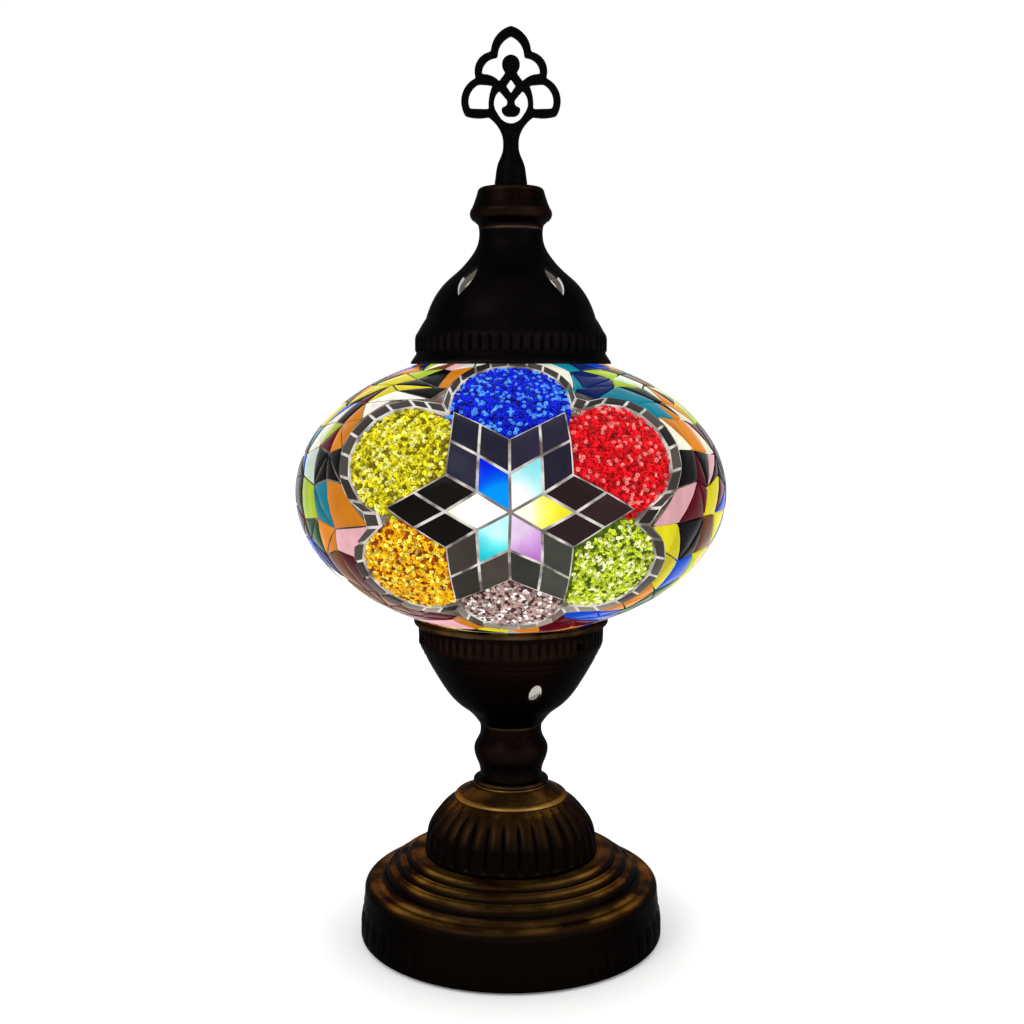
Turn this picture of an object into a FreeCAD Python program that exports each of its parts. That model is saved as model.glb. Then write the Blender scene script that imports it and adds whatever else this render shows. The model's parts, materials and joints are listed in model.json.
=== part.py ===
import FreeCAD, Part
import math
import os

os.makedirs("parts", exist_ok=True)
V = FreeCAD.Vector
UP = V(0, 0, 1)

# Mosaic glass table lamp. Millimetres, +Z up, the origin at the middle of the underside, +Y to the rear.

# ---- driving dimensions ----
TOTAL_HEIGHT = 352.0
DRUM_R = 60.0  # foot, at the table
FOOT_TOP = 33.0  # seat of the bell
BELL_R = 34.0
BELL_TOP = 61.0  # seat of the stem
STEM_TOP = 85.0  # seat of the cup
CUP_RIM_R = 38.1
CUP_RIM_TOP = 127.7
GLOBE_R = 83.0  # over the mosaic
GLOBE_HALF = 54.3  # half height of the whole ellipsoid
GLOBE_Z = 177.0  # its middle
MOSAIC_T = 2.0
GLASS_T = 2.0
MOSAIC_END_R = 31.0  # the mosaic stops here, under the cap and in the cup
NECK_LOW_R = 29.5
NECK_LOW_END = 114.0
NECK_TOP_R = 24.0
NECK_TOP_END = 234.0
MEDALLION_HALF_W = 60.5  # half width and half height of a medallion, seen from the front
MEDALLION_HALF_H = 47.5
CAP_RIM = 226.0
DOME_TOP = 277.0
COLLAR_TOP = 292.7
SEAT_GAP = 0.3  # between the globe and what it rests on
SHEET = 1.0  # spun metal
CUP_VENTS = (-71.0, 49.0, 169.0)  # all such angles are from +X, seen from above
CAP_VENTS = (-49.0, 49.0, 131.0, 229.0)

ROD_R = 5.0  # M10 x 1
ROD_BORE = 3.5
ROD_END = 3.4
ROD_TOP = 97.0
ROD_HOLE = 5.2
NUT_FLAT = 14.0
NUT_T = 3.0
WASHER_R = 10.0
WASHER_T = 1.5

FELT_T = 1.0
COVER_T = 1.2
BALLAST_R = 50.0
BALLAST_LOW = 9.0
BALLAST_TOP = 13.0
BALLAST_HUB_R = 12.0
CORD_SLOT = 8.0

INLET_Z = 12.5
INLET_BORE = 3.2
INLET_HOLE = 5.0
INLET_FLANGE = 5.9
INLET_SEAT_Y = 59.05

SCREW_R = 1.5  # M3 headless screws that hold the globe
SCREW_Z = 120.0
SCREW_TIP = NECK_LOW_R + SEAT_GAP
SCREW_TAIL = 36.9
SCREW_ANGLES = {"right": -43.0, "left": 197.0, "rear": 77.0}
TAP_PLAY = 0.05
BOSS_R = 2.6
BOSS_IN = 31.5
BOSS_FIT = 0.998  # the bosses stop 0.07 mm short of the cup's wall

BULB_R = 22.5  # golf-ball lamp with an E14 cap
BULB_Z = 166.0
BULB_CAP_R = 6.94
BULB_TIP = 112.5
SHELL_BORE = BULB_CAP_R + 0.08
HOLDER_R = 13.9

STUD_R = 2.5  # M5
STUD_HOLE = 3.2
FINIAL_T = 4.4  # thickness of the openwork


# ---- helpers ----
def at(r, z):
    return V(r, 0, z)


def outline(start, *steps):
    """A closed wire in the XZ plane. (r, z) is a line, (r, z, r, z) an arc through the first
    point to the second, and a list of points a smooth curve."""
    edges, here = [], at(*start)
    for step in steps:
        if isinstance(step, list):
            points = [here] + [at(*q) for q in step]
            curve = Part.BSplineCurve()
            curve.interpolate(points)
            edges.append(curve.toShape())
            here = points[-1]
        elif len(step) == 4:
            end = at(*step[2:])
            edges.append(Part.Arc(here, at(*step[:2]), end).toShape())
            here = end
        else:
            edges.append(Part.makeLine(here, at(*step)))
            here = at(*step)
    if (here - at(*start)).Length > 1e-6:
        edges.append(Part.makeLine(here, at(*start)))
    return Part.Wire(edges)


def spin(start, *steps, sweep=360):
    """The solid that a profile sweeps about the lamp's axis."""
    return Part.Face(outline(start, *steps)).revolve(V(), UP, sweep)


def tube(r_out, r_in, z0, z1):
    return spin((r_in, z0), (r_out, z0), (r_out, z1), (r_in, z1))


def disc(r, z0, z1):
    return Part.makeCylinder(r, z1 - z0, V(0, 0, z0))


def along_y(r, y0, y1, z):
    return Part.makeCylinder(r, y1 - y0, V(0, y0, z), V(0, 1, 0))


def radial(r, d0, d1, z, angle):
    """A cylinder that points away from the axis, from d0 to d1."""
    way = V(math.cos(math.radians(angle)), math.sin(math.radians(angle)), 0)
    return Part.makeCylinder(r, d1 - d0, way * d0 + UP * z, way)


def hexagon(flat, z0, z1):
    corner = flat / math.sqrt(3)
    ring = [V(corner * math.cos(k * math.pi / 3), corner * math.sin(k * math.pi / 3), z0)
            for k in range(7)]
    return Part.Face(Part.makePolygon(ring)).extrude(UP * (z1 - z0))


def turned(shape, angle):
    copy = shape.copy()
    copy.rotate(V(), UP, angle)
    return copy


def height_at(r, wall=0.0, side=1):
    """Height of the globe's surface at radius r, wall inside the mosaic's face."""
    a, b = GLOBE_R - wall, GLOBE_HALF - wall
    return GLOBE_Z + side * b * math.sqrt(1 - (r / a) ** 2)


def globe_arc(r0, r1, wall):
    """The arc step of the globe's side from its lower to its upper end, wall inside its face."""
    a, b = GLOBE_R - wall, GLOBE_HALF - wall
    low, high = -math.acos(r0 / a), math.acos(r1 / a)
    count = 16
    turns = [low + (high - low) * k / count for k in range(count + 1)]
    return [(a * math.cos(t), GLOBE_Z + b * math.sin(t)) for t in turns]


def group(*solids):
    return Part.makeCompound(list(solids))


# ---- foot ----
def base_foot():
    foot = spin(
        (ROD_HOLE, FOOT_TOP), (37.8, FOOT_TOP), (40.7, 32.5, 41.6, 30.8),
        (42.4, 30.5), (44.9, 30.0, 45.7, 28.2), (46.4, 27.8), (49.0, 27.0, 49.8, 24.8),
        (51.0, 23.0, 53.4, 22.3), (57.2, 21.7, 58.3, 18.9),
        [(58.7, 14.5), (59.5, 9.5), (DRUM_R, 5.5)], (DRUM_R, 1.6), (59.7, 0.9, 59.0, 0.6),
        (57.9, 0.6), (57.4, 6.0), (56.4, 17.0), (54.8, 19.8), (48.4, 20.8), (46.6, 24.0),
        (42.0, 27.6), (36.0, 30.5), (ROD_HOLE, 30.5))
    foot = foot.cut(along_y(INLET_HOLE, 50, 70, INLET_Z))
    return foot.cut(along_y(INLET_FLANGE + 0.1, INLET_SEAT_Y, 70, INLET_Z))


def ballast_disc():
    iron = spin((ROD_HOLE, BALLAST_LOW), (BALLAST_R, BALLAST_LOW), (BALLAST_R, BALLAST_TOP),
                (BALLAST_HUB_R, BALLAST_TOP), (BALLAST_HUB_R, 30.5), (ROD_HOLE, 30.5))
    slot = Part.makeBox(CORD_SLOT, BALLAST_R, BALLAST_TOP - BALLAST_LOW + 2,
                        V(-CORD_SLOT / 2, BALLAST_HUB_R + 1, BALLAST_LOW - 1))
    return iron.cut(slot)


def cord_grommet():
    body = along_y(INLET_HOLE - 0.1, 55.3, INLET_SEAT_Y + 0.05, INLET_Z)
    body = body.fuse(along_y(INLET_FLANGE, INLET_SEAT_Y, DRUM_R, INLET_Z))
    inner = along_y(INLET_FLANGE, 53.6, 55.3, INLET_Z)
    return body.fuse(inner).cut(along_y(INLET_BORE, 50, 70, INLET_Z))


def bell():
    return spin(
        (31.6, FOOT_TOP), (BELL_R, FOOT_TOP), (34.3, 34.0, BELL_R, 35.0),
        [(33.9, 38.5), (33.2, 42.1), (30.7, 47.0), (26.9, 51.6), (22.4, 55.1)],
        (21.6, 56.6, 20.0, 56.9), [(17.3, 58.8), (14.9, 60.4)], (14.6, BELL_TOP),
        (ROD_HOLE, BELL_TOP), (ROD_HOLE, 57.6), [(15.6, 55.6), (23.4, 50.8), (29.4, 43.6), (31.6, FOOT_TOP)])


def stem():
    return spin(
        (ROD_HOLE, BELL_TOP), (14.2, BELL_TOP), (14.9, 62.0, 14.0, 63.0), (12.5, 63.4),
        [(12.3, 66.2), (12.9, 68.6), (13.9, 71.1), (14.6, 74.0), (14.4, 76.2), (13.3, 78.4),
         (12.2, 81.2), (12.1, 83.4), (12.3, STEM_TOP)], (ROD_HOLE, STEM_TOP))


# ---- cup ----
CUP_INSIDE = (
    (11.0, 86.4), [(13.4, 88.9), (15.8, 91.2), (19.4, 93.8), (23.8, 98.2), (27.2, 103.2), (29.9, 107.9),
                   (32.2, 112.3), (34.0, 115.6), (35.3, 118.6)], (35.4, 126.4), (36.0, 127.3))


def slot(long, wide, r, z, lean, angle):
    """A cutter for one vent: a rounded slot along the meridian, square to the wall at (r, z).
    Its top leans outwards by lean, and it stands at angle about the lamp's axis."""
    half, reach = (long - wide) / 2, 8.0
    bar = Part.makeBox(2 * reach, wide, 2 * half, V(-reach, -wide / 2, -half))
    ends = [Part.makeCylinder(wide / 2, 2 * reach, V(-reach, 0, s * half), V(1, 0, 0)) for s in (-1, 1)]
    cutter = bar.fuse(ends[0]).fuse(ends[1])
    cutter.rotate(V(), V(0, 1, 0), lean)
    cutter.translate(at(r, z))
    return turned(cutter, angle)


def cup():
    metal = spin(
        (ROD_HOLE, STEM_TOP), (12.4, STEM_TOP), [(14.5, 87.9), (16.7, 90.2), (20.1, 92.8), (24.9, 97.8),
        (28.3, 103.0), (31.0, 107.6), (33.4, 112.0), (35.1, 115.3), (36.2, 118.2)], (36.4, 124.8),
        (37.6, 125.2), (CUP_RIM_R, 126.4, 37.3, CUP_RIM_TOP), (36.3, CUP_RIM_TOP - 0.1), CUP_INSIDE[3],
        CUP_INSIDE[2], [CUP_INSIDE[1][k] for k in range(7, -1, -1)] + [CUP_INSIDE[0]], (ROD_HOLE, 86.4))
    for angle in CUP_VENTS:
        metal = metal.cut(slot(8.6, 4.6, 27.9, 102.6, 31.0, angle))
    for angle in SCREW_ANGLES.values():
        metal = metal.cut(radial(SCREW_R + TAP_PLAY, 25, 45, SCREW_Z, angle))
    return metal


def screw_bosses():
    room = spin((0, 86.4), *CUP_INSIDE, (0, 127.3)).scaled(BOSS_FIT, V(0, 0, SCREW_Z))
    return group(*[
        radial(BOSS_R, BOSS_IN, 38, SCREW_Z, angle).common(room).cut(
            radial(SCREW_R + TAP_PLAY, 25, 45, SCREW_Z, angle)) for angle in SCREW_ANGLES.values()])


def globe_screw(angle):
    pin = radial(SCREW_R, SCREW_TIP, SCREW_TAIL, SCREW_Z, angle)
    slit = Part.makeBox(1.2, 0.5, 4, V(SCREW_TAIL - 1.0, -0.25, SCREW_Z - 2))
    return pin.cut(turned(slit, angle))


def cup_seat_ring():
    low = height_at(32.0, side=-1) - SEAT_GAP
    high = height_at(35.3, side=-1) - SEAT_GAP
    return spin((32.0, 123.5), (35.3, 123.5), (35.3, high), (32.0, low))


# ---- rod and its fastenings ----
def nut(z0):
    return hexagon(NUT_FLAT, z0, z0 + NUT_T).cut(disc(ROD_R + 0.05, z0 - 1, z0 + NUT_T + 1))


def washer(z0):
    return tube(WASHER_R, ROD_HOLE, z0, z0 + WASHER_T)


# ---- lampholder ----
def holder_cap():
    return spin((5.05, 91.2), (7.0, 91.2), (7.0, 94.5), [(9.4, 96.2), (12.6, 98.4), (HOLDER_R, 101.0)],
                (HOLDER_R, 107.0), (12.6, 107.0), (12.6, 101.4), (10.6, 98.9, 8.0, 97.6), (5.05, 97.6))


def holder_insert():
    block = spin((0, 101.0), (12.3, 101.0), (12.3, 129.0), (8.2, 129.0), (8.2, 108.0), (0, 108.0))
    for x in (-7.5, 7.5):
        block = block.cut(Part.makeCylinder(1.55, 12, V(x, 0, 100)))
    return block


def terminal_screws():
    return group(*[Part.makeCylinder(2.4, 1.4, V(x, 0, 99.6)).fuse(Part.makeCylinder(1.5, 5, V(x, 0, 101)))
                   for x in (-7.5, 7.5)])


def holder_skirt():
    return spin((12.5, 107.2), (HOLDER_R, 107.2), (HOLDER_R, 131.6), (13.5, 132.6, 12.5, 133.0),
                (9.6, 133.0), (9.6, 131.4), (12.5, 131.4))


def centre_contact():
    points = [V(-6.6, 0, 108.0), V(1.5, 0, 108.0), V(3.0, 0, 109.6), V(-0.8, 0, 111.9), V(-3.0, 0, 111.4),
              V(-3.0, 0, 110.9), V(-0.8, 0, 111.3), V(2.0, 0, 109.5), V(1.3, 0, 108.5), V(-6.6, 0, 108.5)]
    strip = Part.Face(Part.makePolygon(points + points[:1])).extrude(V(0, 4, 0))
    strip.translate(V(0, -2, 0))
    return strip


# ---- bulb ----
def bulb_cap():
    return tube(BULB_CAP_R, BULB_CAP_R - 0.5, 114.5, 136.0)


def bulb_contact():
    return spin((0, BULB_TIP), (2.0, BULB_TIP), (2.6, 113.4), (6.3, 115.4), (6.3, 117.0), (0, 117.0))


def bulb_body():
    return spin((0, 117.0), (6.35, 117.0), (6.35, 136.1), (7.4, 136.1), [(9.2, 141.0), (12.6, 146.2), (16.3, 150.4)],
                (0, 150.4))


def bulb_envelope():
    ball = Part.makeSphere(BULB_R, V(0, 0, BULB_Z)).cut(Part.makeSphere(BULB_R - 1, V(0, 0, BULB_Z)))
    return ball.cut(disc(40, 100, 150.5))


def led_board():
    return disc(12.5, 150.4, 151.6)


# ---- globe ----
def globe_glass():
    inner_low, inner_top = NECK_LOW_R - GLASS_T, NECK_TOP_R - GLASS_T
    outside = globe_arc(NECK_LOW_R, NECK_TOP_R, MOSAIC_T)
    inside = globe_arc(inner_low, inner_top, MOSAIC_T + GLASS_T)[::-1]
    return spin((NECK_LOW_R, NECK_LOW_END), outside[0], outside[1:], (NECK_TOP_R, NECK_TOP_END),
                (inner_top, NECK_TOP_END), inside[0], inside[1:], (inner_low, NECK_LOW_END))


def mosaic_panels():
    """The mosaic in its four panels: a round medallion front and rear, and a band on each side."""
    outside = globe_arc(MOSAIC_END_R, MOSAIC_END_R, 0)
    inside = globe_arc(MOSAIC_END_R, MOSAIC_END_R, MOSAIC_T)[::-1]
    half = spin(outside[0], outside[1:], inside[0], inside[1:], sweep=180)
    oval = Part.Ellipse(V(), MEDALLION_HALF_W, MEDALLION_HALF_H).toShape()
    bar = Part.Face(Part.Wire([oval])).extrude(UP * 200)
    bar.rotate(V(), V(1, 0, 0), 90)
    bar.translate(V(0, 100, GLOBE_Z))
    return {"medallion_back": half.common(bar), "medallion_front": turned(half, 180).common(bar),
            "side_band_right": turned(half, -90).cut(bar), "side_band_left": turned(half, 90).cut(bar)}


# ---- cap ----
def cap_dome():
    dome = spin(
        (37.3, CAP_RIM), (38.5, CAP_RIM), (38.5, 226.8), (37.7, 228.0, 36.6, 229.6), (36.4, 230.2), (36.9, 231.2),
        (36.9, 235.6), (36.6, 236.9), (35.3, 239.0), (34.0, 241.3), (32.6, 243.4),
        [(31.8, 245.9), (30.8, 248.4), (28.6, 252.5), (24.8, 257.2), (19.8, 261.6), (15.7, 266.2),
         (12.9, 270.9), (12.2, 274.0), (12.2, DOME_TOP)],
        (STUD_HOLE, DOME_TOP), (STUD_HOLE, DOME_TOP - SHEET), (11.2, DOME_TOP - SHEET),
        [(11.2, 273.6), (11.9, 270.5), (14.7, 265.8), (18.8, 261.2), (23.9, 256.7), (27.7, 252.0),
         (29.8, 248.0), (31.0, 245.2)],
        (31.8, 243.0), (35.7, 236.0), (35.5, 229.6), (37.3, 227.4))
    for angle in CAP_VENTS:
        dome = dome.cut(slot(14.7, 5.2, 24.6, 256.9, -44.0, angle))
    return dome


def cap_collar():
    return spin(
        (11.2, DOME_TOP), (12.2, DOME_TOP), (12.5, 278.6), (13.9, 279.9), (15.7, 282.4, 15.0, 284.8),
        (14.2, 286.6), (13.4, 288.9), (12.8, 290.8), (12.0, 292.3, 10.4, COLLAR_TOP), (STUD_HOLE, COLLAR_TOP),
        (STUD_HOLE, 291.6), (10.4, 291.6), (11.8, 289.4), (13.2, 285.6), (14.2, 282.8), (12.8, 280.7),
        (11.4, 279.2))


def cap_seat_ring():
    low, high = [height_at(r) + SEAT_GAP for r in (35.1, 31.0)]
    return spin((31.0, high), (35.1, low), (35.1, 230.6), (31.0, 230.6))


def finial_nut():
    return hexagon(8.0, 270.9, 274.9).cut(disc(STUD_R + 0.05, 260, 280))


# ---- finial ----
def mirrored(*steps):
    """A closed face in the XZ plane from the right half of its outline, which starts and ends on the
    axis. Each step is an arc's middle and end, or a line's end."""
    right, left, here = [], [], None
    for step in steps:
        if here is None:
            here = step
            continue
        end = step[-2:]
        if len(step) == 4:
            middle = step[:2]
            right.append(Part.Arc(at(*here), at(*middle), at(*end)).toShape())
            left.append(Part.Arc(at(-end[0], end[1]), at(-middle[0], middle[1]), at(-here[0], here[1])).toShape())
        else:
            right.append(Part.makeLine(at(*here), at(*end)))
            left.append(Part.makeLine(at(-end[0], end[1]), at(-here[0], here[1])))
        here = end
    return Part.Face(Part.Wire(right + left[::-1]))


def plate(face):
    """The openwork's thickness, about the XZ plane."""
    slab = face.extrude(V(0, FINIAL_T, 0))
    slab.translate(V(0, -FINIAL_T / 2, 0))
    return slab


def finial():
    body = plate(mirrored(
        (0, TOTAL_HEIGHT), (4.9, 349.0, 7.3, 342.6), (11.6, 340.4, 12.9, 333.0), (17.6, 328.6, 17.0, 319.6),
        (12.6, 318.9, 8.4, 319.3), (4.6, 315.2, 3.0, 308.0), (3.0, 303.0), (0, 303.0)))
    arch = plate(mirrored(
        (0, 349.2), (3.7, 346.4, 5.2, 341.2), (9.6, 339.4, 11.1, 334.3), (7.2, 333.7, 4.4, 331.6),
        (2.0, 334.8), (2.0, 336.0), (3.1, 338.5, 0, 341.5)))
    diamond = plate(mirrored((0, 333.6), (2.2, 330.4), (0, 327.1)))
    heart = plate(mirrored(
        (0, 319.6), (2.5, 320.1, 3.4, 322.0), (1.4, 322.8), (1.0, 325.2), (4.4, 329.2),
        (6.7, 324.6, 5.0, 319.6), (3.0, 317.2, 0, 316.2)))
    side = [at(8.1, 321.4), at(7.9, 326.5), at(6.4, 331.0), at(12.2, 331.5), at(16.2, 326.4), at(15.6, 321.6)]
    lobe = Part.Wire([Part.Arc(side[0], side[1], side[2]).toShape(), Part.makeLine(side[2], side[3]),
                      Part.Arc(side[3], side[4], side[5]).toShape(), Part.makeLine(side[5], side[0])])
    lobe = plate(Part.Face(lobe))
    other = lobe.mirror(V(), V(1, 0, 0))
    for opening in (arch, diamond, heart, lobe, other):
        body = body.cut(opening)
    foot = spin((0, COLLAR_TOP + 0.3), (6.3, COLLAR_TOP + 0.3), (6.3, 294.0), [(5.8, 297.6), (5.1, 301.4), (3.4, 305.6), (2.9, 309.0),
                (3.2, 313.0)], (0, 315.6))
    return foot.fuse(body).cut(disc(STUD_R + 0.05, 290, 301))


SOLIDS = {
    "base_foot": base_foot(),
    "ballast_disc": ballast_disc(),
    "base_cover": disc(57.2, FELT_T, FELT_T + COVER_T),
    "felt_pad": disc(57.0, 0, FELT_T),
    "cord_grommet": cord_grommet(),
    "bell": bell(),
    "stem": stem(),
    "cup": cup(),
    "screw_bosses": screw_bosses(),
    "cup_seat_ring": cup_seat_ring(),
    "tie_rod": tube(ROD_R, ROD_BORE, ROD_END, ROD_TOP),
    "rod_nuts": group(nut(BALLAST_LOW - WASHER_T - NUT_T), nut(86.4 + WASHER_T)),
    "rod_washers": group(washer(BALLAST_LOW - WASHER_T), washer(86.4)),
    "holder_cap": holder_cap(),
    "holder_insert": holder_insert(),
    "holder_skirt": holder_skirt(),
    "screw_shell": tube(SHELL_BORE + 0.6, SHELL_BORE, 109.0, 128.0),
    "centre_contact": centre_contact(),
    "terminal_screws": terminal_screws(),
    "bulb_cap": bulb_cap(),
    "bulb_contact": bulb_contact(),
    "bulb_body": bulb_body(),
    "bulb_envelope": bulb_envelope(),
    "led_board": led_board(),
    "globe_glass": globe_glass(),
    "cap_dome": cap_dome(),
    "cap_collar": cap_collar(),
    "cap_seat_ring": cap_seat_ring(),
    "finial_nut": finial_nut(),
    "finial_washer": tube(4.9, STUD_HOLE - 0.4, 274.9, 275.9),
    "finial_stud": disc(STUD_R, 269.6, 300.5),
    "finial": finial(),
    **mosaic_panels(),
    **{f"globe_screw_{side}": globe_screw(angle) for side, angle in SCREW_ANGLES.items()},
}

for node, solid in SOLIDS.items():
    solid.exportStep(f"parts/{node}.step")
    print(f"{node:20s} {len(solid.Solids)} solid(s) {solid.Volume / 1000:8.2f} cm3 valid {solid.isValid()}")
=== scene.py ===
import json
import math
import random

import bmesh
import bpy
import numpy as np
from mathutils import Matrix, Vector


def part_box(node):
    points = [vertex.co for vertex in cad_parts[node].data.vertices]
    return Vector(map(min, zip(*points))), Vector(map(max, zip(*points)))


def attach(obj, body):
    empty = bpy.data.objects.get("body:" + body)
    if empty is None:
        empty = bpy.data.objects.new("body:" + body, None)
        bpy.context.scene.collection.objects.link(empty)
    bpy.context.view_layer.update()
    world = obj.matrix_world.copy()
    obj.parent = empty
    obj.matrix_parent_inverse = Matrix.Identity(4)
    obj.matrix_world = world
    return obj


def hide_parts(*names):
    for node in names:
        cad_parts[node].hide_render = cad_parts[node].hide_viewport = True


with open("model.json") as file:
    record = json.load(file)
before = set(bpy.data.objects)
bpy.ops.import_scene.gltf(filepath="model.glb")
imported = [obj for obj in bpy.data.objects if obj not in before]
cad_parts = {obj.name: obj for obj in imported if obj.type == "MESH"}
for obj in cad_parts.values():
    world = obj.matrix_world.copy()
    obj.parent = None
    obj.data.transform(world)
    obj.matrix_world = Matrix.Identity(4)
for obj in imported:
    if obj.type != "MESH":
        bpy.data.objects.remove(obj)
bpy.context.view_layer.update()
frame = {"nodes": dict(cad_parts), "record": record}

# Mosaic glass table lamp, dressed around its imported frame. The frame is in metres with +Z up;
# the sizes below are in millimetres, and MM turns them into metres.
MM = 0.001
NODES = frame["nodes"]
FRONT, REAR = 0.0, math.pi  # turn of a medallion about the lamp's axis
random.seed(7)

# ---- globe ----
GLOBE_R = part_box("side_band_right")[1].x / MM
GLOBE_HALF = 54.3
GLOBE_Z = 177.0
MOSAIC_END_R = 31.2  # the mosaic stops here, under the cap and in the cup

# ---- vents: angles about the lamp's axis from +X, then length, width, radius, height and lean ----
CUP_VENTS = (-71.0, 49.0, 169.0)
CUP_VENT = (8.6, 4.8, 27.9, 102.6, 31.0)
CAP_VENTS = (-49.0, 49.0, 131.0, 229.0)
CAP_VENT = (14.9, 5.6, 24.6, 256.9, -44.0)

# ---- medallion, laid out flat with its middle at 0, 0 ----
STAR_CELL = 12.8  # side of one small rhombus
STAR_GAP = 1.0
RING_GAP = 1.1
TILE_T = 1.5
TILE_EDGE = 0.28  # how far the upper edges are eased
GROUT_T = 1.2
GROUT_DROP = 0.35  # grout lies this far below the faces of the tiles
CELL_CUTS = 3  # each side of a cell is cut this often, to follow the globe
PETALS = {  # middle and radius of each field of beads
    "blue": (0.0, 46.0, 24.5),
    "red": (41.5, 20.8, 21.6),
    "lime": (36.4, -24.3, 19.8),
    "clear": (0.8, -40.5, 19.6),
    "orange": (-38.0, -25.2, 20.0),
    "yellow": (-42.2, 19.6, 21.4),
}
RING_W = 6.4
RING_TILE = 9.6
BEAD_R = 0.92
BEAD_HOLE = 0.26
BEAD_STEP = 1.62
BEAD_STRAY = 0.35
BEAD_BED_T = 0.4
BEAD_BED_DROP = 1.5  # the beads' bed lies this far below the faces of the tiles
FIELD_REACH = 1.16  # a field runs out to this many radii between its neighbours
FIELD_ROOM = 1.2

# ---- side bands ----
BAND_COLUMNS, BAND_ROWS = 15, 11
BAND_CELL = 10.0
BAND_GAP = 0.7
BAND_CUTS = 2
BAND_NARROWEST = 0.8  # corners nearer than this become one
BAND_SMALLEST = 4.0  # square millimetres; a smaller cell is left out
SIDE_TURN = {"right": math.pi / 2, "left": -math.pi / 2}

GLASS = {  # colours of lit glass
    "white": (0.93, 0.88, 0.80), "cream": (0.94, 0.90, 0.74), "pale": (0.66, 0.78, 0.66),
    "pink": (0.86, 0.46, 0.50), "lilac": (0.42, 0.16, 0.50), "yellow": (0.70, 0.62, 0.010),
    "lime": (0.42, 0.58, 0.03), "amber": (0.72, 0.23, 0.012), "brown": (0.15, 0.045, 0.012),
    "maroon": (0.10, 0.003, 0.010), "black": (0.004, 0.003, 0.004), "navy": (0.006, 0.016, 0.11),
    "blue": (0.006, 0.075, 0.60), "deep_blue": (0.0, 0.006, 0.62), "teal": (0.004, 0.20, 0.28),
    "green": (0.004, 0.075, 0.012), "ice": (0.22, 0.74, 0.78), "turquoise": (0.008, 0.50, 0.56),
    "bright_yellow": (0.80, 0.70, 0.02),
}


# ---- meshes ----
def piece(name, bm, body, *finishes, crease=38):
    """Closes a mesh's doubles, points its faces outwards and sets it riding on a body."""
    bmesh.ops.remove_doubles(bm, verts=bm.verts, dist=0.001 * MM)
    bmesh.ops.recalc_face_normals(bm, faces=bm.faces)
    return finished(name, bm, body, *finishes, crease=crease)


def finished(name, bm, body, *finishes, crease=38):
    for face in bm.faces:
        face.smooth = True
    for edge in bm.edges:
        edge.smooth = len(edge.link_faces) == 2 and edge.calc_face_angle(0.0) < math.radians(crease)
    mesh = bpy.data.meshes.new(name)
    bm.to_mesh(mesh)
    bm.free()
    obj = bpy.data.objects.new(name, mesh)
    bpy.context.scene.collection.objects.link(obj)
    for finish in finishes:
        mesh.materials.append(finish)
    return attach(obj, body)


def applied(obj):
    """The object with its modifiers made part of its mesh."""
    evaluated = obj.evaluated_get(bpy.context.evaluated_depsgraph_get())
    mesh = bpy.data.meshes.new_from_object(evaluated)
    obj.modifiers.clear()
    obj.data = mesh
    return obj


def turned_outline(node):
    """The closed outline of a turned part, taken from the seam at its +X side."""
    bm = bmesh.new()
    bm.from_mesh(NODES[node].data)
    bmesh.ops.remove_doubles(bm, verts=bm.verts, dist=0.001 * MM)
    off_seam = [v for v in bm.verts if abs(v.co.y) > 0.002 * MM or v.co.x <= 0]
    bmesh.ops.delete(bm, geom=off_seam, context="VERTS")
    return bm


def lathe(node, steps, fine):
    """The part spun again from its outline, with no edge of the outline longer than fine."""
    bm = turned_outline(node)
    while True:
        long = [e for e in bm.edges if e.calc_length() > fine * MM]
        if not long:
            break
        bmesh.ops.subdivide_edges(bm, edges=long, cuts=1)
    bmesh.ops.spin(bm, geom=bm.verts[:] + bm.edges[:], axis=(0, 0, 1), cent=(0, 0, 0),
                   steps=steps, angle=math.tau, use_merge=True)
    bmesh.ops.remove_doubles(bm, verts=bm.verts, dist=0.001 * MM)
    bmesh.ops.recalc_face_normals(bm, faces=bm.faces)
    return bm


def press(bm, low, high, outside, pattern):
    """Presses a pattern into the outer wall between two heights. outside(z) is the radius
    past which a point is on that wall, and pattern(angle, rise) is the depth there."""
    for v in bm.verts:
        r, z = math.hypot(v.co.x, v.co.y) / MM, v.co.z / MM
        if low < z < high and r > outside(z):
            depth = pattern(math.atan2(v.co.y, v.co.x), (z - low) / (high - low))
            v.co.x *= 1 - depth / r
            v.co.y *= 1 - depth / r


def flutes(count, depth):
    """Upright rounded ribs with a sharp valley between them, fading out at both ends."""
    def pattern(angle, rise):
        fade = min(1.0, 5 * math.sin(math.pi * rise))
        return depth * fade * (1 - abs(math.sin(count * angle / 2)) ** 0.7)
    return pattern


def gadroons(count, depth):
    """Ribs that are broad at the foot and run out in a rounded end at the top."""
    def pattern(angle, rise):
        fade = min(1.0, 6 * rise) * min(1.0, 3.2 * (1 - rise)) ** 0.6
        return depth * fade * (1 - abs(math.sin(count * angle / 2)) ** 0.8)
    return pattern


def leaves(count, depth):
    """A row of upright leaves in low relief: the ground is pressed in and the leaves stand."""
    def pattern(angle, rise):
        across = abs((count * angle / math.tau) % 1 - 0.5) * 2
        leaf = math.sin(math.pi * min(1.0, rise * 1.04)) ** 0.8 * 0.92
        inside = min(1.0, max(0.0, (leaf - across) * 4))
        vein = 0.45 * max(0.0, 1 - across * 7)
        return depth * (1 - inside + vein * inside)
    return pattern


def groove(depth):
    def pattern(angle, rise):
        return depth * math.sin(math.pi * rise) ** 2
    return pattern


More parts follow.
